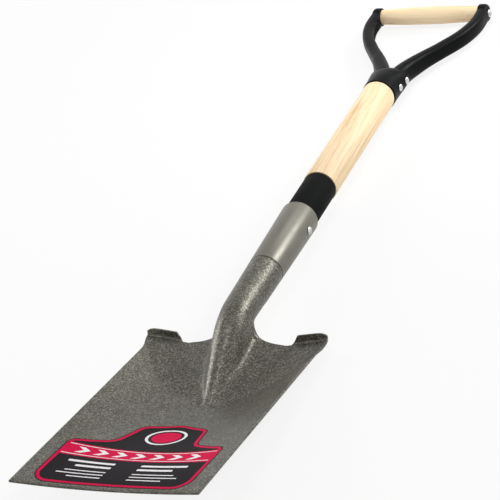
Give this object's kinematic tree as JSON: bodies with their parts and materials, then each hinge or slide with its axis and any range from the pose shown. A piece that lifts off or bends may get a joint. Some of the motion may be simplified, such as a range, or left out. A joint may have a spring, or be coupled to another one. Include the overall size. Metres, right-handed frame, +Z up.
{
  "type": "garden spade",
  "caption": "Short spade with a dished square-ended steel blade, foot treads, a riveted socket, a wooden shaft and a steel yoke with a wooden crossbar grip.",
  "frame": {"origin": "bottom centre of the bounding box of the spade lying on its back", "axes": "+Y along the shaft toward the hand grip, +X across the blade, +Z up, out of the blade's hollow front"},
  "size_m": [0.2084, 1.0144, 0.0766],
  "materials": {
    "blade_and_socket": "hammered grey paint, half gloss",
    "socket_collar": "smooth warm grey paint",
    "shaft_sleeve": "black, satin",
    "wooden_shaft": "pale ash, clear varnish",
    "yoke": "black paint, half gloss",
    "crossbar_grip": "pale ash, clear varnish",
    "crossbar_rivet": "bright zinc plate",
    "collar_rivet": "bright zinc plate",
    "yoke_rivet_1": "bright zinc plate",
    "yoke_rivet_2": "bright zinc plate"
  },
  "bodies": {
    "root": {"blade_and_socket": "blade_and_socket", "socket_collar": "socket_collar", "shaft_sleeve": "shaft_sleeve", "wooden_shaft": "wooden_shaft", "yoke": "yoke", "crossbar_grip": "crossbar_grip", "crossbar_rivet": "crossbar_rivet", "collar_rivet": "collar_rivet", "yoke_rivet_1": "yoke_rivet_1", "yoke_rivet_2": "yoke_rivet_2"}
  },
  "joints": []
}
